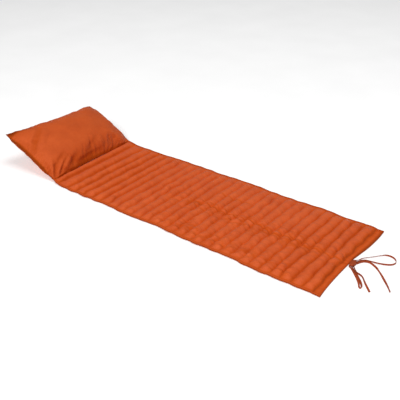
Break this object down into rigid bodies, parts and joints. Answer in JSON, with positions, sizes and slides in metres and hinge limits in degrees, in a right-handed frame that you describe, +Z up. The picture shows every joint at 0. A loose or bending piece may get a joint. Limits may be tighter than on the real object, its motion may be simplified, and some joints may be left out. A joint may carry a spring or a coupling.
{
  "type": "sun lounger cushion",
  "caption": "Long sun lounger pad quilted across in narrow channels, with a stuffed pillow sewn to its head end and a flat tape tied in a bow at its foot edge.",
  "frame": {"origin": "on the ground, under the middle of the box around the pad and pillow", "axes": "+X along the cushion from the pillow to the foot edge, +Y across it, away from the bow's two free ends, +Z up"},
  "size_m": [2.0778, 0.6085, 0.1907],
  "materials": {
    "cushion_cloth": "matt woven cloth, burnt orange",
    "tape_cloth": "matt woven tape, burnt orange"
  },
  "bodies": {
    "root": {"pad": "cushion_cloth", "pillow": "cushion_cloth", "tie_knot": "tape_cloth", "tie_loop_long": "tape_cloth", "tie_loop_short": "tape_cloth", "tie_tail_long": "tape_cloth", "tie_tail_short": "tape_cloth"}
  },
  "joints": []
}
